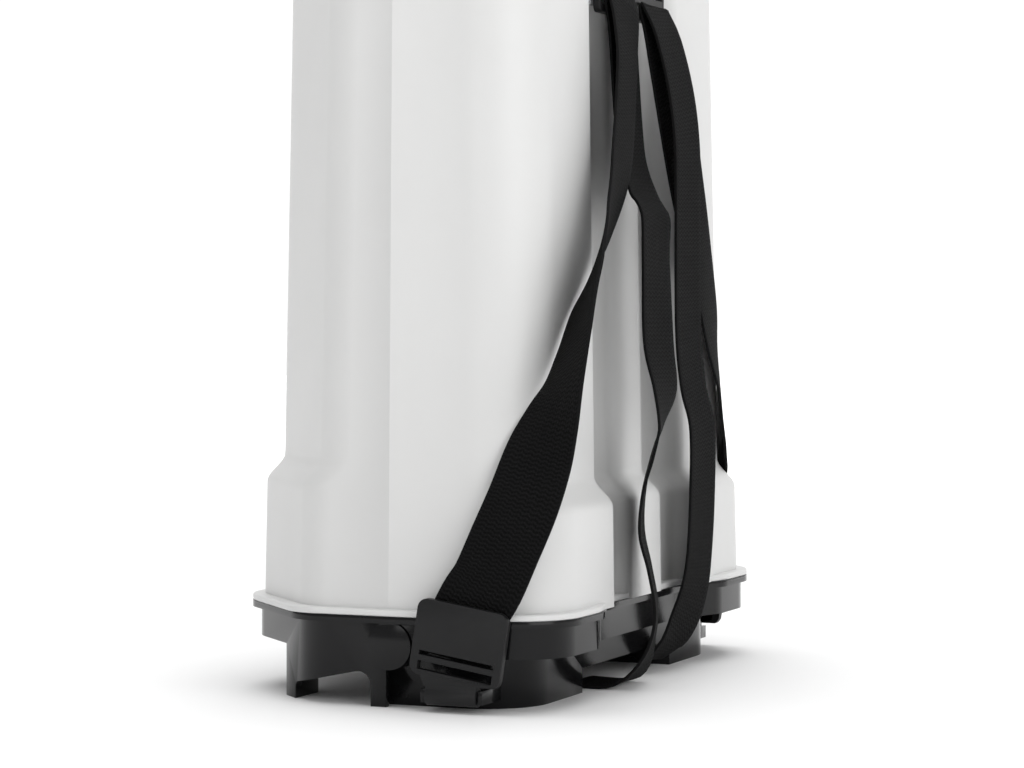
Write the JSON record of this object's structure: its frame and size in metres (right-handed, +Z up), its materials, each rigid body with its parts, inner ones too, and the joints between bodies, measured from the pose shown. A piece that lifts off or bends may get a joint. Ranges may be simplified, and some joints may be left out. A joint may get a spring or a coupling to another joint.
{
  "type": "backpack sprayer",
  "caption": "Upright white moulded liquid tank on a black base with an internal piston pump, a side hand lever, a screw filler cap and two webbing shoulder straps with hook buckles.",
  "frame": {"origin": "on the floor, under the centre of the whole sprayer's box", "axes": "+Z up; -Y towards the wearer's back; +X to the wearer's left, the lever side"},
  "size_m": [0.411, 0.2486, 0.519],
  "materials": {
    "white_tank": "satin moulded polyethylene",
    "black_base": "satin black moulding",
    "black_plastic": "fine textured moulding",
    "buckle": "matt grey black moulding",
    "webbing": "woven polypropylene webbing",
    "pump_plastic": "moulded",
    "rubber": "moulded",
    "brass": "turned",
    "steel": "zinc plated",
    "painted_arm": "powder coated",
    "grip": "ribbed"
  },
  "bodies": {
    "sprayer": {"base": "black_base", "base_screws": "steel", "tank": "white_tank", "strainer_basket": "pump_plastic", "carry_handle": "black_plastic", "handle_studs": "steel", "pump_flange": "pump_plastic", "pump_seal_ring": "rubber", "rod_seal": "rubber", "pump_ring_nut": "black_plastic", "pump_cylinder": "brass", "delivery_seat": "brass", "valve_cage": "pump_plastic", "pressure_chamber": "pump_plastic", "chamber_o_ring": "rubber", "outlet_tube": "brass", "hose_nipple": "brass", "shaft_bush_right": "pump_plastic", "shaft_bush_left": "pump_plastic", "strap_right": "webbing", "strap_left": "webbing", "strap_anchor": "steel", "strap_adjuster_right": "buckle", "strap_adjuster_left": "buckle"},
    "lever": {"lever_shaft": "steel", "shaft_clip": "steel", "crank_arm": "steel", "crank_pin": "steel", "lever_hub": "black_plastic", "lever_arm": "painted_arm", "lever_bolts": "steel", "lever_grip": "grip"},
    "piston": {"piston_yoke": "steel", "piston_rod": "steel", "piston": "brass", "piston_cup": "rubber"},
    "delivery_valve": {"delivery_valve": "rubber"},
    "cap_seal": {"cap_gasket": "rubber"},
    "cap": {"filler_cap": "black_plastic", "vent_valve": "rubber"},
    "buckle_right": {"strap_buckle_right": "buckle"},
    "buckle_left": {"strap_buckle_left": "buckle"}
  },
  "joints": [
    {"name": "lever_swing", "type": "hinge", "parent": "sprayer", "child": "lever", "pos_m": [-0.012, -0.00265, 0.036], "axis": [1, 0, 0], "range_deg": [0, 60]},
    {"name": "piston_slide", "type": "slide", "parent": "sprayer", "child": "piston", "axis": [0, 0, 1], "range_m": [0, 0.036]},
    {"name": "delivery_valve_lift", "type": "slide", "parent": "sprayer", "child": "delivery_valve", "axis": [0, 0, 1], "range_m": [0, 0.003]},
    {"name": "cap_lift", "type": "slide", "parent": "sprayer", "child": "cap_seal", "axis": [0, 0, 1], "range_m": [0, 0.008]},
    {"name": "cap_turn", "type": "hinge", "parent": "cap_seal", "child": "cap", "pos_m": [-0.012, 0.01735, 0.5], "axis": [0, 0, 1], "range_deg": [0, 360]},
    {"name": "buckle_right_swing", "type": "hinge", "parent": "sprayer", "child": "buckle_right", "pos_m": [-0.2, -0.04565, 0.0095], "axis": [0, -1, 0], "range_deg": [0, 14]},
    {"name": "buckle_left_swing", "type": "hinge", "parent": "sprayer", "child": "buckle_left", "pos_m": [0.176, -0.04565, 0.0095], "axis": [0, 1, 0], "range_deg": [0, 14]}
  ],
  "couplings": [
    {"joint": "piston_slide", "follows": "lever_swing", "m_per_rad": 0.034377},
    {"joint": "cap_lift", "follows": "cap_turn", "m_per_rad": 0.0012732}
  ]
}
